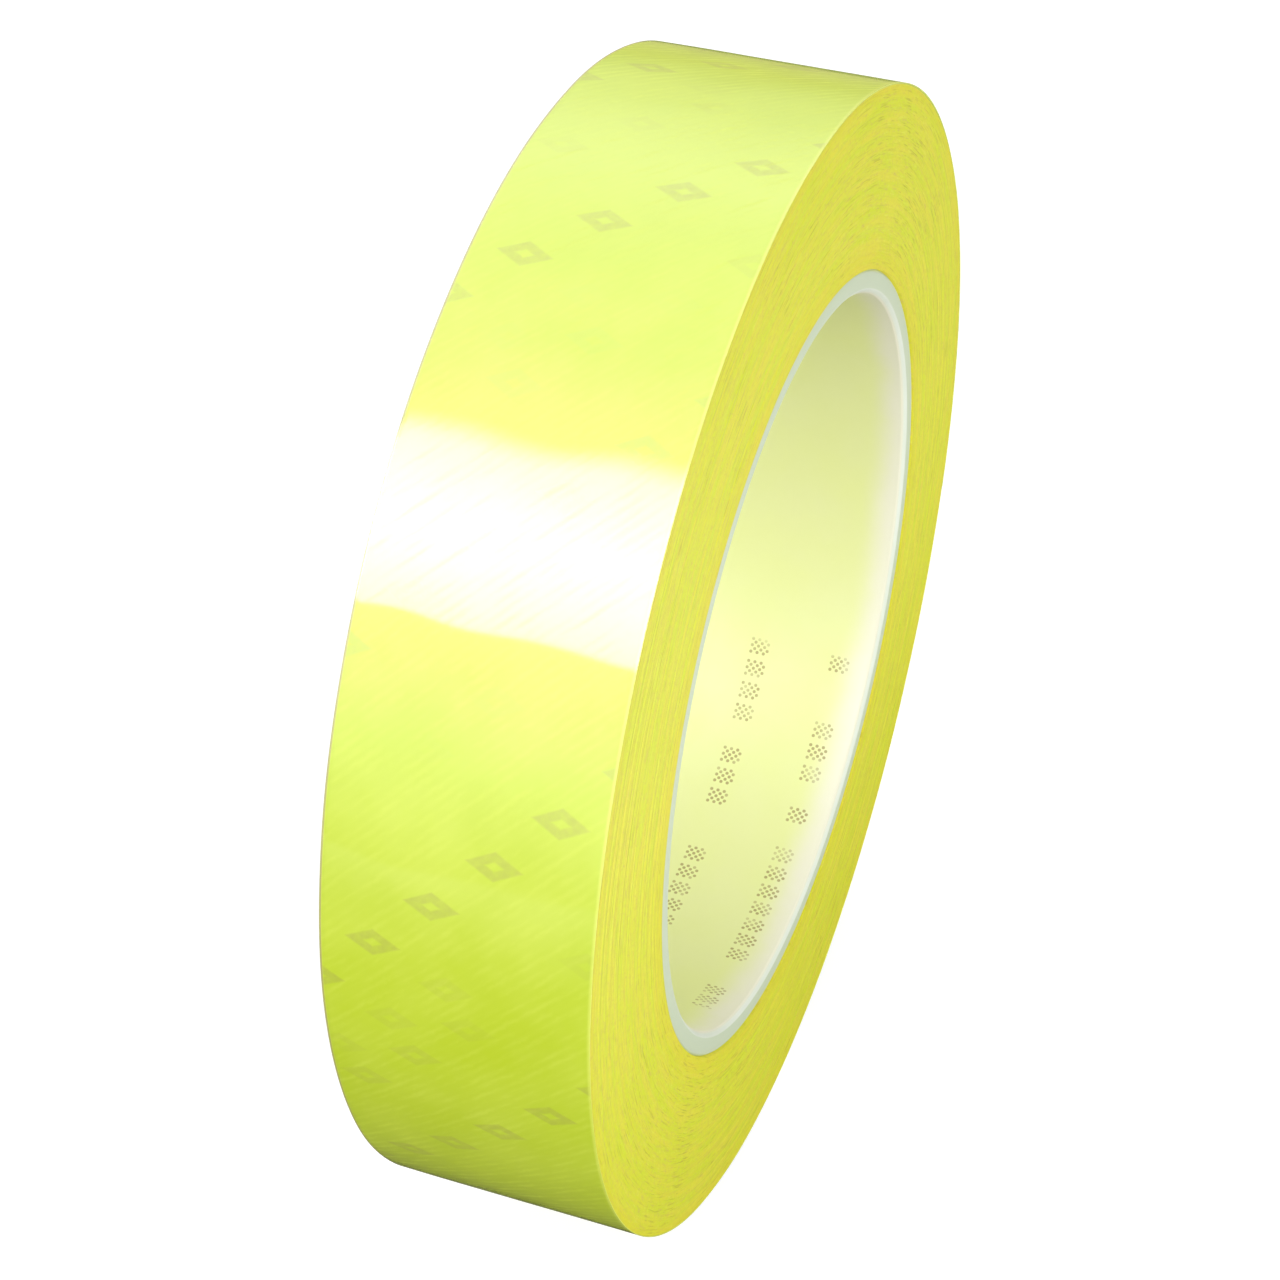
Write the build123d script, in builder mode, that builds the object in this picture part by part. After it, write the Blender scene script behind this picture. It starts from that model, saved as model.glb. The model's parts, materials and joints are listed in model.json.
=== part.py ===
from build123d import *
import os
from math import pi

# A roll of film tape: one long strip, film on the outside and adhesive on the inside,
# wound on a plastic core. The origin is the middle of the bore, the bore runs along Y,
# and the front side face looks towards -Y.

# Driving dimensions, mm
tape_width = 25.4            # 1 inch tape
roll_diameter = 118.0        # over the loose end, the roll's largest diameter
bore_diameter = 76.2         # 3 inch core
core_wall = 2.5
core_recess = 0.25           # how far each end of the core lies inside the tape's side faces
bore_chamfer = 0.5           # on both ends of the bore
rim_chamfer = 0.25           # on both outer edges of the core
film_thickness = 0.05
adhesive_thickness = 0.04
free_end_length = 30.0       # arc of the loose end, from the peel line to the cut
cut_angle = 15.0             # where the cut end of the strip lies, from +X towards -Z
under_gap = 0.06             # air under the loose end
peel_slit = 0.1              # along the strip, between its stuck part and its loose end

# Sizes that follow from them
strip_thickness = film_thickness + adhesive_thickness
core_length = tape_width - 2 * core_recess
bore_radius = bore_diameter / 2
core_radius = bore_radius + core_wall
roll_radius = roll_diameter / 2

# One turn of the spiral is two half circles. The second one's centre is half a strip
# thickness further towards the cut, so that the turn climbs by one strip thickness.
step = strip_thickness / 2
first_half_radius = roll_radius - under_gap - 2 * strip_thickness    # under the last turn
second_half_radius = first_half_radius + step
loose_radius = second_half_radius + under_gap                        # inside of the loose end
peel_radius = loose_radius + strip_thickness                         # outside of the loose end
loose_angle = free_end_length / peel_radius * 180 / pi
slit_angle = peel_slit / peel_radius * 180 / pi

# Angles in these planes run clockwise for someone who faces the front of the roll
front_plane = Plane((0, -tape_width / 2, 0), x_dir=(1, 0, 0), z_dir=(0, 1, 0))
core_plane = front_plane.offset(core_recess)
wound_plane = front_plane * Rotation(0, 0, cut_angle)   # its x axis points at the cut end
shifted_plane = wound_plane * Location((step, 0, 0))    # centre of the second half circle


def half_disc(radius, start):
    """Half of a disc about the origin, from angle start to start + 180."""
    with BuildSketch() as profile:
        with BuildLine():
            arc = CenterArc((0, 0), radius, start, 180)
            Line(arc @ 1, arc @ 0)
        make_face()
    return profile.sketch


def band(inner_radius, thickness, start, end):
    """Curved strip about the origin, from angle start to angle end."""
    with BuildSketch() as profile:
        with BuildLine():
            inner = CenterArc((0, 0), inner_radius, start, end - start)
            outer = CenterArc((0, 0), inner_radius + thickness, start, end - start)
            Line(inner @ 0, outer @ 0)
            Line(inner @ 1, outer @ 1)
        make_face()
    return profile.sketch


# Plastic core, chamfered at the bore and at its outer edges
with BuildPart() as core:
    with BuildSketch(core_plane):
        Circle(core_radius)
        Circle(bore_radius, mode=Mode.SUBTRACT)
    extrude(amount=core_length)
    rims = core.edges().filter_by(GeomType.CIRCLE).group_by(SortBy.RADIUS)
    chamfer(rims[0], bore_chamfer)
    chamfer(rims[-1], rim_chamfer)
core.part.label = "core"

# All turns of the strip but the last one, as one ring with the spiral's step in it
with BuildPart() as wound_tape:
    with BuildSketch(wound_plane):
        add(half_disc(first_half_radius, 0))
    with BuildSketch(shifted_plane):
        add(half_disc(second_half_radius, 180))
    extrude(amount=tape_width)
    with BuildSketch(front_plane):
        Circle(core_radius)
    extrude(amount=tape_width, mode=Mode.SUBTRACT)
wound_tape.part.label = "wound_tape"

# The last turn, stuck down as far as the peel line: adhesive inside, film outside
with BuildPart() as last_turn_adhesive:
    with BuildSketch(wound_plane):
        add(band(first_half_radius, adhesive_thickness, 0, 180))
    with BuildSketch(shifted_plane):
        add(band(second_half_radius, adhesive_thickness, 180, 360 - loose_angle - slit_angle))
    extrude(amount=tape_width)
last_turn_adhesive.part.label = "last_turn_adhesive"

with BuildPart() as last_turn_film:
    with BuildSketch(wound_plane):
        add(band(first_half_radius + adhesive_thickness, film_thickness, 0, 180))
    with BuildSketch(shifted_plane):
        film_radius = second_half_radius + adhesive_thickness
        add(band(film_radius, film_thickness, 180, 360 - loose_angle - slit_angle))
    extrude(amount=tape_width)
last_turn_film.part.label = "last_turn_film"

# The loose end of the strip, up to its cut, an air gap above the ring
with BuildPart() as free_end_adhesive:
    with BuildSketch(shifted_plane):
        add(band(loose_radius, adhesive_thickness, 360 - loose_angle, 360))
    extrude(amount=tape_width)
free_end_adhesive.part.label = "free_end_adhesive"

with BuildPart() as free_end_film:
    with BuildSketch(shifted_plane):
        add(band(loose_radius + adhesive_thickness, film_thickness, 360 - loose_angle, 360))
    extrude(amount=tape_width)
free_end_film.part.label = "free_end_film"

# The loose end peels up about the outer edge of the film where it starts
with BuildLine(shifted_plane) as peel_mark:
    peel_arc = CenterArc((0, 0), peel_radius, -loose_angle, loose_angle)
peel_line = peel_mark.line.edges()[0] @ 0
print(f"peel line at x {peel_line.X:.4f} z {peel_line.Z:.4f} mm, parallel to Y")

os.makedirs("parts", exist_ok=True)
export_step(core.part, "parts/core.step")
export_step(wound_tape.part, "parts/wound_tape.step")
export_step(last_turn_adhesive.part, "parts/last_turn_adhesive.step")
export_step(last_turn_film.part, "parts/last_turn_film.step")
export_step(free_end_adhesive.part, "parts/free_end_adhesive.step")
export_step(free_end_film.part, "parts/free_end_film.step")
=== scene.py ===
import json
import math
import bpy
import numpy as np
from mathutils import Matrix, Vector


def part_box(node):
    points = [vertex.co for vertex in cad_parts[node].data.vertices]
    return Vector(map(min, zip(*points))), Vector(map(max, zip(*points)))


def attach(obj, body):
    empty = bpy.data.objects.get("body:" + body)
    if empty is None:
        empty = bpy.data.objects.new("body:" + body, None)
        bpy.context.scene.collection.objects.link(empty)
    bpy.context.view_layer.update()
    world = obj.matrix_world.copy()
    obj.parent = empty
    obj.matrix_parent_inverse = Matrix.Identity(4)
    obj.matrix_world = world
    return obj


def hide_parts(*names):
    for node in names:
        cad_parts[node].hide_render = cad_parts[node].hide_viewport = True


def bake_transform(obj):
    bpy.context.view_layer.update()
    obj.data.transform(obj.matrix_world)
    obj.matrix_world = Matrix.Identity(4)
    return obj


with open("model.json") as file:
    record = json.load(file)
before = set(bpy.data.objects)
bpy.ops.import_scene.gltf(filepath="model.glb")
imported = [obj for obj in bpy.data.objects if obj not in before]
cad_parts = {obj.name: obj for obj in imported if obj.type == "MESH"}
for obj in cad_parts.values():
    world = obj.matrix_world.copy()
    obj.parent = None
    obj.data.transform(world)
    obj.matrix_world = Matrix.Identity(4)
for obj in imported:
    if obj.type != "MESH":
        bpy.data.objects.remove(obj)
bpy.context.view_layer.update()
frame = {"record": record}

mm = 0.001
fullTurn = 2 * math.pi

# The bore runs along Y and the front side face looks towards -Y, as in the CAD model.
print("stage: sizes from the frame")
mounts = {mount["name"]: mount for mount in frame["record"]["mounts"]}
boreRadius = mounts["core_bore"]["dims"]["r_mm"] * mm
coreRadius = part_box("core")[1].x
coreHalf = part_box("core")[1].y
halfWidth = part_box("wound_tape")[1].y
peelX, peelY, peelZ = frame["record"]["behaviour"]["joints"][0]["pos_m"]

strip = {
    "film": 0.05 * mm,          # thickness of the film layer
    "adhesive": 0.04 * mm,      # thickness of the adhesive layer
    "underGap": 0.06 * mm,      # air under the loose end
    "rampBefore": 6.0 * mm,     # stuck stretch before the peel line that belongs to the end piece
    "bendLength": 7.0 * mm,     # stretch of the loose end that bends when it is peeled up
    "waveHeight": 0.022 * mm,   # slow waves in the outer film
    "stuckRows": 720,           # rows of points along the stuck part
    "looseRows": 90,            # and along the end piece
}
stripThickness = strip["film"] + strip["adhesive"]
climb = stripThickness / 2      # one turn is two half circles, their centres this far apart
peelRadius = math.hypot(peelX, peelZ)
peelAngle = math.atan2(peelZ, peelX)
cutAngle = math.asin(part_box("free_end_film")[0].z / peelRadius)
looseTurn = peelAngle - cutAngle
ringRadius = (peelRadius - strip["underGap"] - stripThickness
              - climb * (1 + math.cos(looseTurn)))   # of the ring under the last turn, at the cut
joinTurn = fullTurn - looseTurn - strip["rampBefore"] / ringRadius   # where the end piece begins


# A mesh of quads between the neighbours of a grid of points with shape (rows, columns, 3). A
# closed direction joins its last line to its first, and caps are one flat face over the first
# row and one over the last. The signed volume, the sum of a . (b x c) over the triangles, tells
# which way the faces point, and they are turned round together if it is negative.
def gridPiece(name, points, closeRows, closeColumns, caps=False, place=None):
    rows, columns = points.shape[:2]
    i, j = np.meshgrid(np.arange(rows - (not closeRows)),
                       np.arange(columns - (not closeColumns)), indexing="ij")
    corners = [(i, j), (i + 1, j), (i + 1, j + 1), (i, j + 1)]
    faces = np.stack([(a % rows) * columns + b % columns for a, b in corners], -1).reshape(-1, 4)
    flat = points.reshape(-1, 3)
    p = flat[faces]
    volume = np.einsum("ij,ij->i", p[:, 0], np.cross(p[:, 1], p[:, 2])).sum()
    volume += np.einsum("ij,ij->i", p[:, 0], np.cross(p[:, 2], p[:, 3])).sum()
    inside = volume < 0
    if inside:
        faces = faces[:, ::-1]
    polygons = faces.tolist()
    if caps:
        first = list(range(columns))
        last = list(range((rows - 1) * columns, rows * columns))
        polygons += [first[::-1], last] if inside else [first, last[::-1]]
    mesh = bpy.data.meshes.new(name)
    mesh.from_pydata(flat.tolist(), [], polygons)
    smooth = np.ones(len(polygons), bool)
    smooth[len(faces):] = False
    mesh.polygons.foreach_set("use_smooth", smooth)
    if place is not None:
        wide = place.shape[1]
        corner = np.stack([a * wide + b for a, b in corners], -1).reshape(-1, 4)
        if inside:
            corner = corner[:, ::-1]
        spots = place.reshape(-1, 2)
        uv = spots[corner.reshape(-1)]
        if caps:
            lastStart = (place.shape[0] - 1) * wide
            firstUv, lastUv = spots[:columns], spots[lastStart:lastStart + columns]
            uv = np.concatenate([uv, firstUv[::-1] if inside else firstUv,
                                 lastUv if inside else lastUv[::-1]])
        layer = mesh.uv_layers.new(name="stripPlace")
        layer.data.foreach_set("uv", uv.astype(np.float32).ravel())
    mesh.update()
    piece = bpy.data.objects.new(name, mesh)
    bpy.context.scene.collection.objects.link(piece)
    return piece


# Radius of the ring under the last turn, for a turn angle that starts at the cut and runs
# clockwise: a half circle about the bore, then one whose centre is a climb nearer to the cut.
def ringRadiusAt(turn):
    first = np.full_like(turn, ringRadius)
    second = climb * np.cos(turn) + np.sqrt((ringRadius + climb) ** 2 - (climb * np.sin(turn)) ** 2)
    return np.where(turn <= math.pi, first, second)


# Points of a strip, and its places along and across in metres. The section is a thin bar with
# half circles for its two long edges, from low to high over the ring, and it is carried round
# at the ring's radius plus the rise.
def stripGrid(turns, low, high, acrossCount, rise):
    middle, half = (low + high) / 2, (high - low) / 2
    across = np.linspace(-halfWidth + half, halfWidth - half, acrossCount)
    bend = np.linspace(math.pi / 2, -math.pi / 2, 5)[1:-1]
    edgeAcross = halfWidth - half + half * np.cos(bend)
    y = np.concatenate([across, edgeAcross, across[::-1], -edgeAcross[::-1]])
    height = np.concatenate([np.full(acrossCount, high), middle + half * np.sin(bend),
                             np.full(acrossCount, low), middle + half * np.sin(-bend)])
    turn, y = np.meshgrid(turns, y, indexing="ij")
    radius = ringRadiusAt(turn) + height[None, :] + rise(turn, y)
    angle = cutAngle - turn
    points = np.stack([radius * np.cos(angle), y, radius * np.sin(angle)], -1)
    place = np.stack([turn * ringRadius, y], -1)
    return points, np.concatenate([place, place[:, :1]], 1)


# Slow waves in the outer film: the sum of a long sine along the strip that bends across it and
# of two shorter ones that cross it slantwise. They fade out at the ends of the strip.
def filmWaves(turn, y):
    along = turn * ringRadius
    waves = (np.sin(along / (4.2 * mm) + 1.6 * np.sin(y / (4.1 * mm) + 0.6))
             + 0.45 * np.sin(along / (2.5 * mm) + y / (2.3 * mm) + 1.3)
             + 0.5 * np.sin(along / (3.1 * mm) - y / (4.3 * mm)))
    ends = np.clip(np.minimum(turn, joinTurn - turn) * ringRadius / (5 * mm), 0, 1)
    return strip["waveHeight"] * ends * waves


# The adhesive of the stuck part lies flat on the ring: no rise anywhere.
def noRise(turn, y):
    return 0 * turn


# The end piece rises from the ring to the air gap before the peel line, as 3 r^2 - 2 r^3 of the
# share r of the ramp that is behind it.
def endRise(turn, y):
    before = (turn - (fullTurn - looseTurn)) / (strip["rampBefore"] / ringRadius) + 1
    ramp = np.clip(before, 0, 1)
    return strip["underGap"] * ramp * ramp * (3 - 2 * ramp)


# The same turns with one more just inside each end, so that the shading stays even up to there.
def endLoops(turns):
    near = 0.02 * mm / ringRadius
    return np.concatenate([turns[:1], [turns[0] + near], turns[1:-1], [turns[-1] - near], turns[-1:]])


print("stage: strip pieces")
stuckTurns = endLoops(np.linspace(0, joinTurn, strip["stuckRows"]))
looseTurns = endLoops(np.linspace(joinTurn, fullTurn, strip["looseRows"]))
pieces = {}
for name, turns, low, high, acrossCount, rise, node in (
        ("lastTurnAdhesive", stuckTurns, 0, strip["adhesive"], 4, noRise, "last_turn_adhesive"),
        ("lastTurnFilm", stuckTurns, strip["adhesive"], stripThickness, 44, filmWaves,
         "last_turn_film"),
        ("looseEndAdhesive", looseTurns, 0, strip["adhesive"], 24, endRise, "free_end_adhesive"),
        ("looseEndFilm", looseTurns, strip["adhesive"], stripThickness, 44, endRise,
         "free_end_film")):
    points, place = stripGrid(turns, low, high, acrossCount, rise)
    pieces[name] = gridPiece(name, points, False, True, True, place)
    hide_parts(node)


wound = {
    "edgeScatter": 0.009 * mm,   # how far single turns stand in or out at the side faces
    "groupScatter": 0.02 * mm,   # the same for groups of turns
    "deepest": 0.12 * mm,        # no turn lies further in than this
    "angles": 230,               # columns of points round the ring
    "seed": 7,
}


# Height of a side face over the flat, for each angle and turn: every turn has its own random
# offset, groups of turns drift together, and each turn adds sines of whole numbers of waves
# round the roll. The result is clipped, and its highest places lie in the flat.
def edgeHeights(angles, turnCount, random):
    single = random.normal(0, wound["edgeScatter"], turnCount)
    group = np.convolve(random.normal(0, 1, turnCount + 12), np.hanning(13), "valid")
    group = group / group.std() * wound["groupScatter"]
    heights = (single + group)[None, :] * np.ones((len(angles), 1))
    for wave in (1, 2, 3, 5, 9, 14, 22):
        size = np.convolve(random.normal(0, 1, turnCount + 4), np.hanning(5), "valid")
        phase = np.cumsum(random.normal(0, 0.5, turnCount)) + random.uniform(0, fullTurn)
        heights += size[None, :] * wound["edgeScatter"] * 0.4 * np.sin(wave * angles[:, None] + phase)
    limit = wound["deepest"] / 2
    return np.clip(heights, -limit, limit) - limit


# The ring as one closed surface in polar coordinates, and its places along and across: the
# front face from the core outwards with a circle for each turn, the outer wall, and the back
# face inwards. The outer radius follows the spiral's step, and the inner wall closes it.
def woundPoints():
    random = np.random.default_rng(wound["seed"])
    turns = np.linspace(0, fullTurn, wound["angles"], endpoint=False)
    outer = ringRadiusAt(turns)
    count = int(round((ringRadius - coreRadius) / stripThickness))
    share = np.linspace(0, 1, count + 1)
    radius = coreRadius + (outer[:, None] - coreRadius) * share[None, :]
    frontHeight = edgeHeights(turns, count + 1, random)
    backHeight = edgeHeights(turns, count + 1, random)
    angle = (cutAngle - turns)[:, None]
    front = np.stack([radius * np.cos(angle), -halfWidth - frontHeight, radius * np.sin(angle)], -1)
    back = np.stack([radius * np.cos(angle), halfWidth + backHeight, radius * np.sin(angle)], -1)
    wallShare = np.linspace(-1, 1, 8)[1:-1]
    wall = np.stack(np.broadcast_arrays(radius[:, -1:] * np.cos(angle), halfWidth * wallShare[None, :],
                                        radius[:, -1:] * np.sin(angle)), -1)
    points = np.concatenate([front, wall, back[:, ::-1]], 1)
    along = (np.append(turns, fullTurn) * ringRadius)[:, None] * np.ones((1, points.shape[1]))
    across = np.concatenate([points[:, :, 1], points[:1, :, 1]])
    place = np.stack([along, across], -1)
    return points, np.concatenate([place, place[:, :1]], 1)


print("stage: wound turns")
points, place = woundPoints()
pieces["woundTurns"] = gridPiece("woundTurns", points, True, True, False, place)
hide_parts("wound_tape")


core = {
    "boreChamfer": 0.5 * mm,
    "rimChamfer": 0.25 * mm,
    "rounding": 0.12 * mm,      # how far from each corner its rounding begins
    "angles": 360,              # columns of points round the core
}


# The core's section, turned about the bore: eight corners, each rounded by a quadratic curve
# (1 - s)^2 a + 2 s (1 - s) b + s^2 c from a little before the corner b to a little after it,
# and a few points more along the bore.
def corePoints():
    bore, rim = core["boreChamfer"], core["rimChamfer"]
    corners = np.array([
        (boreRadius, -coreHalf + bore), (boreRadius + bore, -coreHalf),
        (coreRadius - rim, -coreHalf), (coreRadius, -coreHalf + rim),
        (coreRadius, coreHalf - rim), (coreRadius - rim, coreHalf),
        (boreRadius + bore, coreHalf), (boreRadius, coreHalf - bore)])
    before = np.roll(corners, 1, 0) - corners
    after = np.roll(corners, -1, 0) - corners
    before /= np.linalg.norm(before, axis=1)[:, None]
    after /= np.linalg.norm(after, axis=1)[:, None]
    s = np.linspace(0, 1, 6)[None, :, None]
    begin = (corners + before * core["rounding"])[:, None]
    end = (corners + after * core["rounding"])[:, None]
    curve = (1 - s) ** 2 * begin + 2 * s * (1 - s) * corners[:, None] + s ** 2 * end
    inner = np.stack([np.full(11, boreRadius), np.linspace(1, -1, 13)[1:-1] * (coreHalf - 1.0 * mm)], -1)
    section = np.concatenate([curve.reshape(-1, 2), inner])
    angle = np.linspace(0, fullTurn, core["angles"], endpoint=False)[:, None]
    radius, y = section[None, :, 0], section[None, :, 1]
    return np.stack(np.broadcast_arrays(radius * np.cos(angle), y, radius * np.sin(angle)), -1)


print("stage: core")
pieces["coreRing"] = gridPiece("coreRing", corePoints(), True, True)
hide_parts("core")


# One output of a node. Arithmetic on it adds Math nodes, and node() adds any other node.
class wire:
    def __init__(self, tree, socket=None):
        self.tree = tree
        self.socket = socket

    # a node of a kind: first its settings, then the values or wires of its sockets
    def node(self, kind, settings=None, inputs=None, output=0):
        made = self.tree.nodes.new(kind)
        for name, value in (settings or {}).items():
            if name == "stops":
                ramp = made.color_ramp.elements
                while len(ramp) < len(value):
                    ramp.new(0.5)
                for element, (position, colour) in zip(ramp, value):
                    element.position = position
                    element.color = colour
            else:
                setattr(made, name, value)
        for name, value in (inputs or {}).items():
            if isinstance(value, wire):
                self.tree.links.new(value.socket, made.inputs[name])
            else:
                made.inputs[name].default_value = value
        return wire(self.tree, made.outputs[output])

    # another output of the same node
    def out(self, name):
        return wire(self.tree, self.socket.node.outputs[name])

    def maths(self, operation, *values):
        return self.node("ShaderNodeMath", {"operation": operation}, dict(enumerate(values)))

    def __add__(self, other):
        return self.maths("ADD", self, other)

    def __sub__(self, other):
        return self.maths("SUBTRACT", self, other)

    def __rsub__(self, other):
        return self.maths("SUBTRACT", other, self)

    def __mul__(self, other):
        return self.maths("MULTIPLY", self, other)

    def __truediv__(self, other):
        return self.maths("DIVIDE", self, other)

    def __rtruediv__(self, other):
        return self.maths("DIVIDE", other, self)

    __radd__ = __add__
    __rmul__ = __mul__

    def floor(self):
        return self.maths("FLOOR", self)

    def size(self):
        return self.maths("ABSOLUTE", self)

    def sine(self):
        return self.maths("SINE", self)

    # 0 below low, 1 above high, smooth between them
    def step(self, low, high):
        return self.node("ShaderNodeMapRange", {"interpolation_type": "SMOOTHSTEP"},
                         {"Value": self, "From Min": low, "From Max": high})

    # first colour where this is 0, second colour where it is 1
    def between(self, first, second):
        return self.node("ShaderNodeMix", {"data_type": "RGBA"}, {0: self, 6: first, 7: second}, 2)


# A material with one Principled shader: constants go on its sockets, and paint(start) returns
# the wires for the sockets that change over the surface.
def newMaterial(name, constants, paint):
    material = bpy.data.materials.new(name)
    material.use_nodes = True
    tree = material.node_tree
    shader = tree.nodes["Principled BSDF"]
    for socket, value in constants.items():
        shader.inputs[socket].default_value = value
    for socket, value in paint(wire(tree)).items():
        tree.links.new(value.socket, shader.inputs[socket])
    return material


# A linear colour with full alpha
def rgb(red, green, blue):
    return (red, green, blue, 1.0)


# A vector from three numbers or wires
def vector(start, x, y, z):
    return start.node("ShaderNodeCombineXYZ", None, {0: x, 1: y, 2: z})


# Fractal noise from 0 to 1, its grains about 1 / scale wide
def noise(start, place, scale, detail=2.0, roughness=0.5):
    return start.node("ShaderNodeTexNoise", None,
                      {"Vector": place, "Scale": scale, "Detail": detail, "Roughness": roughness})


film = {
    "body": rgb(0.560, 0.708, 0.018),
    "pale": rgb(0.600, 0.738, 0.038),
    "printTint": rgb(0.42, 0.45, 0.06),
    "edge": rgb(0.78, 0.86, 0.13),
    "darkBackLine": rgb(0.36, 0.30, 0.17),
    "rowPitch": 31.9,         # mm along the strip from row to row of printed marks
    "markPitch": 5.4,         # mm across the strip from mark to mark
    "markHalfAcross": 2.6,
    "markHalfAlong": 1.4,
    "rowSlant": 0.98,         # how far a row moves along the strip for each mm across
    "hatchPitch": 0.9,        # mm between the fine diagonal lines in the film
    "ior": 1.4,
    "coatIor": 1.6,
    "coatRoughness": 0.055,
}


# Slanted rows of small printed lozenges with an open middle, 1 inside the print. Each cell
# across the strip moves the rows along by its number times the slant, and a lozenge is where
# |across| / half width + |along| / half height lies between two limits.
def printedRows(along, across, shiftAlong, shiftAcross):
    cell = ((across + shiftAcross) / film["markPitch"]).floor()
    fromMark = across + shiftAcross - (cell + 0.5) * film["markPitch"]
    rowPlace = along + shiftAlong + cell * (film["markPitch"] * film["rowSlant"])
    row = (rowPlace / film["rowPitch"]).floor()
    fromRow = rowPlace - (row + 0.5) * film["rowPitch"]
    reach = fromMark.size() / film["markHalfAcross"] + fromRow.size() / film["markHalfAlong"]
    return (1 - reach.step(0.88, 1.12)) * reach.step(0.2, 0.45)


# Body colour mixed by soft clouds, then the printed marks with fainter ones that show from the
# turns below, a pale line at both edges and a dark one at the back edge. The hatch is a sine
# of along + across, bent by noise, and it thins the coat.
def filmPaint(start):
    uv = start.node("ShaderNodeUVMap", {"uv_map": "stripPlace"})
    parts = start.node("ShaderNodeSeparateXYZ", None, {0: uv})
    along = parts * 1000
    across = parts.out("Y") * 1000
    place = vector(start, along, across, 0.0)
    mottle = noise(start, place, 0.10, 3.0, 0.6).step(0.3, 0.7)
    fine = noise(start, place, 1.1, 2.0, 0.6)
    marks = printedRows(along, across, 14.6, 11.3)
    deeper = printedRows(along, across, 0.5, 9.4) * noise(start, place, 0.035).step(0.42, 0.6)
    deepest = printedRows(along, across, 23.0, 12.8) * noise(start, place, 0.05).step(0.5, 0.65)
    patchy = noise(start, place, 1.3, 3.0).step(0.15, 0.8)
    ink = marks * (0.30 + 0.30 * patchy) + deeper * 0.23 + deepest * 0.15
    stroke = noise(start, vector(start, (along + across) * 0.7, (along - across) * 0.16, 0.0),
                   1.0, 3.0, 0.6).step(0.35, 0.75)
    diagonal = (along + across) * (fullTurn / film["hatchPitch"] * math.sqrt(0.5))
    hatch = (diagonal + fine * 4.0).sine() * 0.5 + 0.5
    colour = mottle.between(film["body"], film["pale"])
    colour = (hatch * stroke * 0.22).between(colour, film["edge"])
    colour = ink.between(colour, film["printTint"])
    colour = (across.size().step(12.35, 12.6) * 0.6).between(colour, film["edge"])
    # a dark line along the back edge
    colour = (across.step(12.45, 12.58) * 0.7).between(colour, film["darkBackLine"])
    bump = start.node("ShaderNodeBump", None,
                      {"Strength": 0.3, "Distance": 0.00002, "Height": hatch * 0.4 + fine})
    coat = 1.0 - 0.30 * hatch * stroke
    return {"Base Color": colour, "Normal": bump, "Roughness": 0.35 + 0.15 * mottle,
            "Coat Weight": coat - 0.15 * ink}


filmMaterial = newMaterial("glossyYellowFilm", {"IOR": film["ior"], "Coat IOR": film["coatIor"],
                                                "Coat Roughness": film["coatRoughness"]}, filmPaint)


edges = {
    "warm": rgb(0.75, 0.715, 0.045),
    "lime": rgb(0.66, 0.735, 0.024),
    "tan": rgb(0.62, 0.505, 0.14),
    "bright": rgb(0.85, 0.865, 0.19),
    "orange": rgb(0.75, 0.605, 0.025),
    "dark": rgb(0.44, 0.415, 0.03),
}


# Broad and narrow streaks that run round the roll: noise read at (x / r, z / r, r), each part
# times its own number, is slow along a turn and quick from turn to turn. Small dark arcs and
# specks lie over them, and the tone is warmer beside the core and at the rim.
def edgePaint(start):
    place = start.node("ShaderNodeTexCoord").out("Object")
    parts = start.node("ShaderNodeSeparateXYZ", None, {0: place})
    x = parts * 1000
    z = parts.out("Z") * 1000
    radius = start.maths("SQRT", x * x + z * z)
    broad = vector(start, x / radius * 5.0, z / radius * 5.0, radius * 0.9)
    narrow = vector(start, x / radius * 24.0, z / radius * 24.0, radius * 3.8)
    bands = noise(start, broad, 1.0, 3.0, 0.6).step(0.3, 0.7)
    streaks = noise(start, narrow, 1.0, 3.0, 0.65)
    cuts = noise(start, vector(start, x / radius * 13.0, z / radius * 13.0, radius * 6.5), 1.0, 2.0, 0.6)
    patches = noise(start, vector(start, x, 9.0, z), 0.11, 2.0).step(0.3, 0.65)
    grain = noise(start, vector(start, x, 0.0, z), 2.0, 4.0, 0.75)
    dust = noise(start, vector(start, x, 3.0, z), 4.5, 1.0, 0.5)
    inner = 1 - (radius - coreRadius / mm).step(0.3, 4.0)
    outer = (radius - (ringRadius / mm - 2.0)).step(0.0, 2.0)
    colour = bands.between(edges["warm"], edges["lime"])
    colour = (streaks.step(0.52, 0.80) * 0.4).between(colour, edges["bright"])
    colour = ((1 - streaks.step(0.26, 0.46)) * 0.6).between(colour, edges["tan"])
    colour = (grain.step(0.45, 0.75) * 0.55).between(colour, edges["tan"])
    colour = (cuts.step(0.56, 0.68) * patches * 0.7).between(colour, edges["dark"])
    colour = ((inner + outer) * 0.3).between(colour, edges["orange"])
    colour = (dust.step(0.70, 0.78) * 0.55).between(colour, edges["tan"])
    relief = streaks + 0.5 * grain - 0.5 * cuts
    bump = start.node("ShaderNodeBump", None, {"Strength": 0.5, "Distance": 0.00005, "Height": relief})
    return {"Base Color": colour, "Normal": bump, "Roughness": 0.45 + 0.25 * grain}


edgeMaterial = newMaterial("cutTapeEdges", {"IOR": 1.5, "Specular IOR Level": 0.3}, edgePaint)


adhesive = {
    "deep": rgb(0.74, 0.80, 0.16),
    "milky": rgb(0.82, 0.86, 0.26),
}


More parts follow.
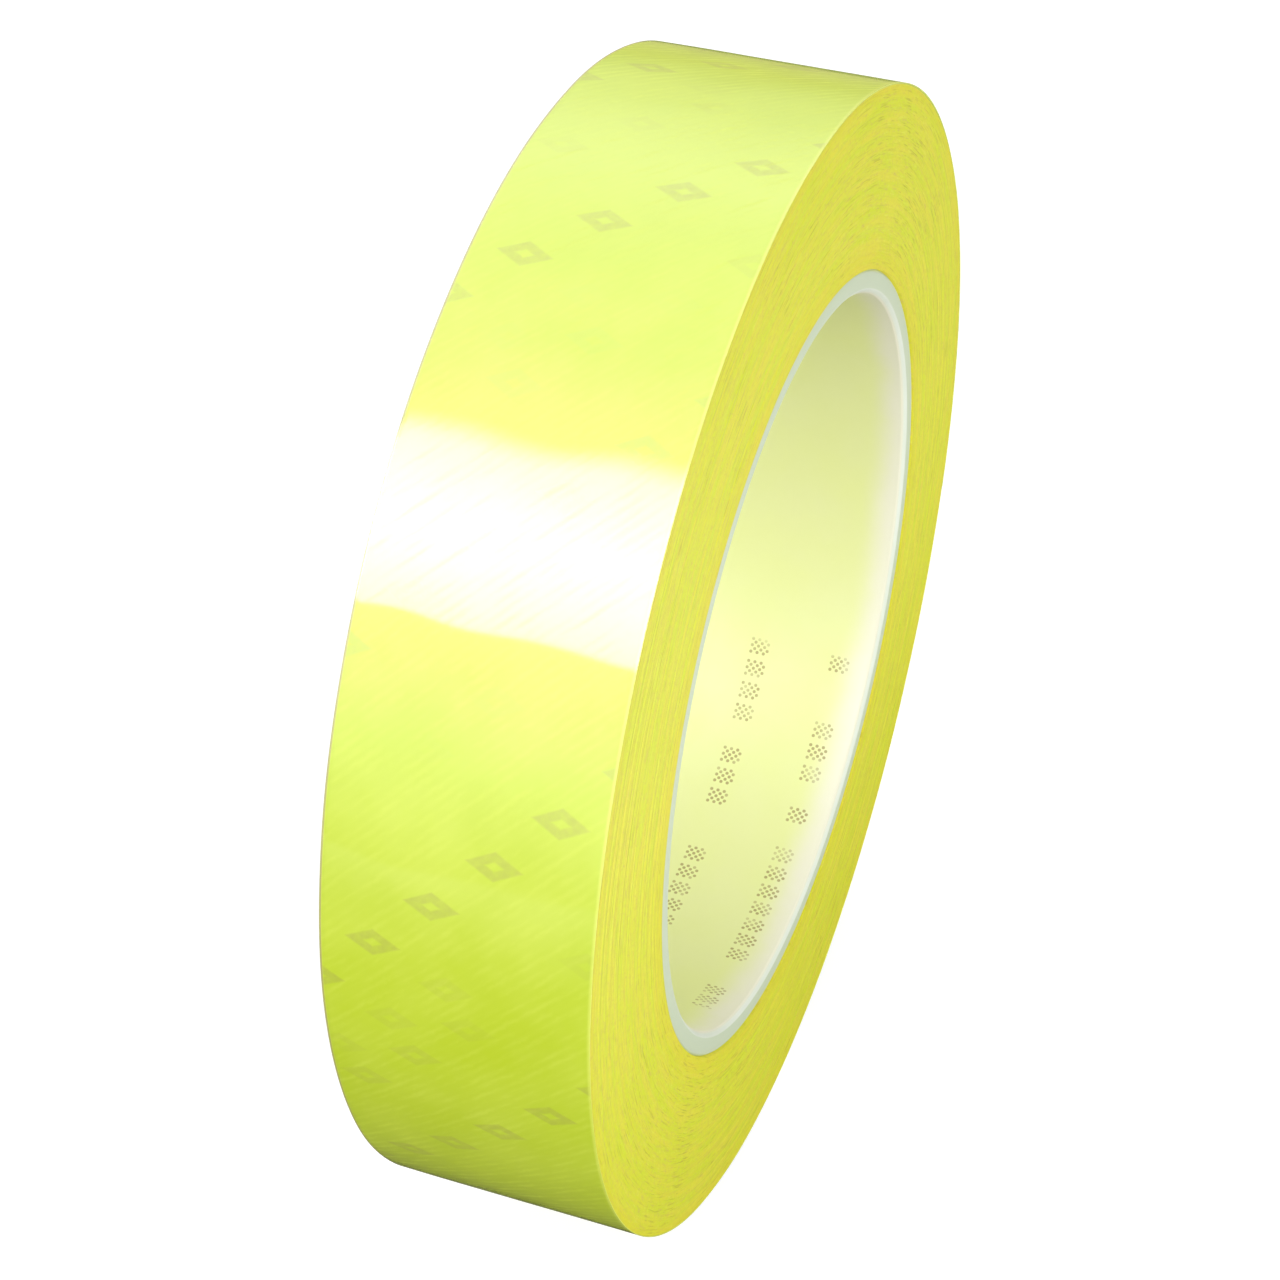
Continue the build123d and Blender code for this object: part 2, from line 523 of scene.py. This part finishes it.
# Two tones of the adhesive mixed by a fine grain, which also makes it rough.
def adhesivePaint(start):
    uv = start.node("ShaderNodeUVMap", {"uv_map": "stripPlace"})
    place = start.node("ShaderNodeVectorMath", {"operation": "SCALE"}, {0: uv, "Scale": 1000.0})
    grain = noise(start, place, 1.2, 4.0, 0.6)
    colour = grain.step(0.3, 0.7).between(adhesive["deep"], adhesive["milky"])
    bump = start.node("ShaderNodeBump", None, {"Strength": 0.2, "Distance": 0.00003, "Height": grain})
    return {"Base Color": colour, "Normal": bump, "Roughness": 0.3 + 0.3 * grain}


adhesiveMaterial = newMaterial("tackyAdhesive", {"IOR": 1.47}, adhesivePaint)


plastic = {
    "white": rgb(0.60, 0.68, 0.50),
    "inside": rgb(0.87, 0.855, 0.70),
    # painted highlight on the chamfer beside the bore
    "wearAndHighlight": rgb(0.92, 0.95, 0.90),
    # painted yellow light that shines through the core from the tape
    "paintedTapeLight": rgb(0.79, 0.84, 0.36),
    "ink": rgb(0.34, 0.27, 0.08),
    "blockPitch": 2.63,       # mm round the bore from block to block of printed dots
    "dotPitch": 0.38,
    "rowPitch": 9.6,          # mm across the bore between the two rows of blocks
    "rowShift": 13.4,         # from where the rows count to mid width
    "rowInset": 3.7,          # from the edge of a row's stretch to its blocks
    "printFrom": -78,         # mm round the bore from +X, where the blocks begin and end
    "printTo": -24,
}


# Two rows of small blocks of dots round part of the bore, 1 on a dot. A dot is a circle in its
# square, the squares with an even column + line keep theirs, and some blocks are left out.
def dotBlocks(start, around, y):
    block = (around / plastic["blockPitch"]).floor()
    inBlock = around - block * plastic["blockPitch"]
    row = ((y + plastic["rowShift"]) / plastic["rowPitch"]).floor()
    inRow = y + plastic["rowShift"] - row * plastic["rowPitch"] - plastic["rowInset"]
    column = (inBlock / plastic["dotPitch"]).floor()
    line = (inRow / plastic["dotPitch"]).floor()
    dx = inBlock / plastic["dotPitch"] - column - 0.5
    dy = inRow / plastic["dotPitch"] - line - 0.5
    dot = 1 - (dx * dx + dy * dy).step(0.16, 0.36)
    chequer = start.maths("MODULO", column + line + 20, 2.0)
    inside = (1 - column.step(4.4, 4.6)) * line.step(-0.6, -0.4) * (1 - line.step(5.4, 5.6))
    kept = start.node("ShaderNodeTexWhiteNoise", {"noise_dimensions": "2D"},
                      {"Vector": vector(start, block, row, 0.0)}).step(0.22, 0.24)
    first, last = plastic["printFrom"], plastic["printTo"]
    reach = around.step(first, first + 1) * (1 - around.step(last - 1, last)) * (1 - row.step(1.4, 1.6))
    return dot * chequer * inside * kept * reach


# White plastic by radius: plain end faces with a painted highlight on the chamfer beside the bore,
# and a bore with painted yellow light from the tape shining through, 1 at mid width and fading
# towards the open ends. The dots lie over it.
def corePaint(start):
    place = start.node("ShaderNodeTexCoord").out("Object")
    parts = start.node("ShaderNodeSeparateXYZ", None, {0: place})
    x = parts * 1000
    y = parts.out("Y") * 1000
    z = parts.out("Z") * 1000
    radius = start.maths("SQRT", x * x + z * z)
    inBore = 1 - radius.step(boreRadius / mm + 0.02, boreRadius / mm + 0.3)
    cloud = noise(start, vector(start, x, y, z), 0.10, 3.0, 0.6)
    fine = noise(start, vector(start, x * 0.3, y * 4.0, z * 0.3), 1.0, 3.0, 0.6)
    # painted yellow light from the tape through the core: 1 at mid width, fading towards the open ends
    tapeLightShare = 1 - (y.size() + cloud * 3.0).step(9.3, 13.4)
    bore = (tapeLightShare * (0.75 + 0.4 * cloud)).between(plastic["inside"], plastic["paintedTapeLight"])
    # painted highlight: a paler ring on the chamfer beside the bore
    chamferHighlight = 1 - (radius - (boreRadius / mm + 0.35)).size().step(0.12, 0.3)
    rim = (chamferHighlight * (0.3 + 0.5 * cloud)).between(plastic["white"], plastic["wearAndHighlight"])
    colour = inBore.between(rim, bore)
    around = start.maths("ARCTAN2", z, x) * (boreRadius / mm)
    # patchy wear of the printed dots
    wearAndHighlight = noise(start, vector(start, x, y, z), 0.5, 2.0).step(0.25, 0.6)
    colour = (dotBlocks(start, around, y) * inBore * (0.35 + 0.45 * wearAndHighlight)).between(colour, plastic["ink"])
    bump = start.node("ShaderNodeBump", None, {"Strength": 0.25, "Distance": 0.00005, "Height": fine})
    return {"Base Color": colour, "Normal": bump, "Roughness": 0.42 + 0.15 * cloud}


coreMaterial = newMaterial("whiteCorePlastic", {"IOR": 1.5, "Specular IOR Level": 0.3}, corePaint)


print("stage: materials and bodies")
for name, material, slot in (("lastTurnAdhesive", adhesiveMaterial, "adhesive"),
                             ("lastTurnFilm", filmMaterial, "film"),
                             ("looseEndAdhesive", adhesiveMaterial, "adhesive"),
                             ("looseEndFilm", filmMaterial, "film"),
                             ("woundTurns", edgeMaterial, "wound_edges"),
                             ("coreRing", coreMaterial, "core_plastic")):
    pieces[name].data.materials.append(material)
for name in ("lastTurnAdhesive", "lastTurnFilm", "woundTurns", "coreRing"):
    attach(pieces[name], "roll")
for name in ("looseEndAdhesive", "looseEndFilm"):
    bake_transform(pieces[name])

# the outer wall of the ring shows the film of the turn below
woundMesh = pieces["woundTurns"].data
woundMesh.materials.append(filmMaterial)
centres = np.zeros(len(woundMesh.polygons) * 3, np.float32)
woundMesh.polygons.foreach_get("center", centres)
centres = centres.reshape(-1, 3)
onWall = np.hypot(centres[:, 0], centres[:, 2]) > ringRadius - 0.02 * mm
woundMesh.polygons.foreach_set("material_index", onWall.astype(np.int32))


print("stage: floor and world")
floorSettings = {
    "radius": 0.36,
    "drop": 0.05 * mm,                     # how far it lies below the lowest film
    "plain": rgb(0.36, 0.36, 0.36),        # tone in diffuse light
    "mirrored": rgb(0.05, 0.047, 0.042),   # tone in reflections
    "shown": 0.78,                         # glow towards the camera
    "leftGlow": 1.2,                       # glow in reflections, far out on the left
    "frontGlow": 5.4,                      # the same in front of the roll
    "frontLoss": 4.6,                      # and how much of it is lost towards the right
}
bpy.ops.mesh.primitive_circle_add(
    vertices=128, radius=floorSettings["radius"], fill_type="NGON",
    location=(0, 0, -(ringRadius + stripThickness) - floorSettings["drop"]))
floor = bpy.context.object
floor.name = "floor"


# White to the camera by its own glow. In reflections it is dark beside the roll and adds two
# glows: one that grows far out on the left, and one in a soft-edged field in front of the roll,
# which gives the front face its sheen.
def floorPaint(start):
    rays = start.node("ShaderNodeLightPath")
    place = start.node("ShaderNodeSeparateXYZ", None, {0: start.node("ShaderNodeTexCoord").out("Object")})
    leftGlow = (place * -1).step(0.09, 0.34) * floorSettings["leftGlow"]
    toFront = place.out("Y") * -1
    window = toFront.step(0.045, 0.10) * (1 - toFront.step(0.13, 0.26)) * place.step(-0.12, -0.04)
    lossToRight = place.step(0.05, 0.17) * floorSettings["frontLoss"]
    frontGlow = window * (floorSettings["frontGlow"] - lossToRight)
    glossy = rays.out("Is Glossy Ray")
    return {"Emission Strength": rays * floorSettings["shown"] + glossy * (leftGlow + frontGlow),
            "Base Color": glossy.between(floorSettings["plain"], floorSettings["mirrored"])}


floor.data.materials.append(newMaterial(
    "paleFloor", {"Roughness": 0.7, "Specular IOR Level": 0.1, "Emission Color": rgb(1, 1, 1)},
    floorPaint))

# White to the camera. Reflections see a ramp over the height, tipped to the right, and diffuse
# light an even grey that is stronger on the left.
sky = {
    "stops": [(0.0, rgb(0.10, 0.08, 0.07)), (0.34, rgb(0.12, 0.09, 0.085)),
              (0.40, rgb(0.17, 0.15, 0.145)), (0.55, rgb(0.40, 0.40, 0.39)),
              (0.75, rgb(1, 1, 1)), (1.0, rgb(1, 1, 1))],
    "tip": 0.3,
    "strength": 2.7,
    "left": rgb(0.40, 0.40, 0.40),
    "right": rgb(0.22, 0.22, 0.22),
}
world = bpy.data.worlds.new("studio")
bpy.context.scene.world = world
world.use_nodes = True
start = wire(world.node_tree)
direction = start.node("ShaderNodeTexCoord").out("Generated")
toRight = start.node("ShaderNodeSeparateXYZ", None, {0: direction})
height = toRight.out("Z") - toRight * sky["tip"]
ramp = start.node("ShaderNodeValToRGB", {"stops": sky["stops"]}, {0: height * 0.5 + 0.5})
ramp = ramp.node("ShaderNodeVectorMath", {"operation": "SCALE"}, {0: ramp, "Scale": sky["strength"]})
rays = start.node("ShaderNodeLightPath")
soft = (toRight * 0.5 + 0.5).between(sky["left"], sky["right"])
lit = rays.out("Is Diffuse Ray").between(ramp, soft)
shown = rays.out("Is Camera Ray").between(lit, rgb(1, 1, 1))
world.node_tree.links.new(shown.socket, world.node_tree.nodes["Background"].inputs["Color"])


print("stage: lights")
lights = {   # place in metres, width, height, watts
    "frontFill": ((-0.60, -0.80, 0.40), 0.8, 0.8, 7.4),
    "topFill": ((-0.45, 0.1, 0.85), 1.0, 1.0, 0.9),
    "leftFill": ((-0.95, 0.1, 0.05), 0.5, 0.3, 0.6),
    "rightFill": ((0.95, -0.3, 0.06), 0.5, 0.3, 1.4),
    "backFill": ((-0.10, 1.10, 0.20), 0.7, 0.7, 5.5),
}


# A soft area light turned towards the roll's middle, which lies at minus its own place from it.
# It shows in no reflection.
def areaLight(name, place, width, height, power):
    data = bpy.data.lights.new(name, "AREA")
    data.shape = "RECTANGLE"
    data.size = width
    data.size_y = height
    data.energy = power
    light = bpy.data.objects.new(name, data)
    light.location = place
    light.rotation_euler = (-light.location).to_track_quat("-Z", "Y").to_euler()
    light.visible_camera = False
    light.visible_glossy = False
    bpy.context.scene.collection.objects.link(light)


for name, settings in lights.items():
    areaLight(name, *settings)

# A softbox that only shows in reflections, with its long edges along Y
softbox = {
    "middle": (-0.410, 0.21, 0.515),
    "down": (-0.789, 0.0, -0.614),     # unit vector towards the lower edge
    "halfHeight": 0.225,
    "halfWidth": 0.38,
    "glow": 15.0,
    "dimGlow": 2.4,
}
middle, down = np.array(softbox["middle"]), np.array(softbox["down"]) * softbox["halfHeight"]
side = np.array([0, softbox["halfWidth"], 0])
panelMesh = bpy.data.meshes.new("softboxPanel")
panelMesh.from_pydata([tuple(middle + a * down + b * side)
                       for a, b in ((-1, -1), (-1, 1), (1, 1), (1, -1))], [], [(0, 1, 2, 3)])
panelUv = panelMesh.uv_layers.new(name="panelPlace")
panelUv.data.foreach_set("uv", [0, 0, 0, 1, 1, 1, 1, 0])
panel = bpy.data.objects.new("softboxPanel", panelMesh)
bpy.context.scene.collection.objects.link(panel)
panel.visible_camera = False
panel.visible_diffuse = False
panel.visible_shadow = False


# The glow over the panel's height: it rises slowly at the upper edge, falls straight from its
# peak a little past the middle to both sides, and ends sharply at the lower edge.
def panelPaint(start):
    fall = start.node("ShaderNodeSeparateXYZ", None,
                      {0: start.node("ShaderNodeUVMap", {"uv_map": "panelPlace"})})
    glow = fall.step(0.0, 0.18) * (1 - fall.step(0.965, 1.0)) * (1 - 0.42 * (fall - 0.56).size() * 2)
    return {"Emission Strength": glow * softbox["glow"] + softbox["dimGlow"]}


panelMesh.materials.append(newMaterial(
    "softboxGlow", {"Base Color": rgb(0, 0, 0), "Emission Color": rgb(1, 1, 1)}, panelPaint))


print("stage: camera")
view = {
    "azimuth": -69.51,       # degrees from the front, towards +X
    "elevation": 38.30,
    "distance": 4.884,       # this and the point it looks at, in roll radii
    "aim": (-0.0269, 0.0695, -0.0011),
    "lensMm": 78.83,
}
cameraData = bpy.data.cameras.new("camera")
cameraData.lens = view["lensMm"]
cameraData.sensor_width = 36.0
cameraData.clip_start = 0.01
camera = bpy.data.objects.new("camera", cameraData)
azimuth, elevation = math.radians(view["azimuth"]), math.radians(view["elevation"])
back = np.array([math.sin(azimuth) * math.cos(elevation), -math.cos(azimuth) * math.cos(elevation),
                 math.sin(elevation)])
towards = camera.location.copy()
towards.x, towards.y, towards.z = (-back).tolist()
camera.rotation_euler = towards.to_track_quat("-Z", "Y").to_euler()
camera.location = (np.array(view["aim"]) + back * view["distance"]) * (peelRadius - climb)
bpy.context.scene.collection.objects.link(camera)
bpy.context.scene.camera = camera
bpy.context.scene.view_settings.view_transform = "Standard"

print("stage: done")
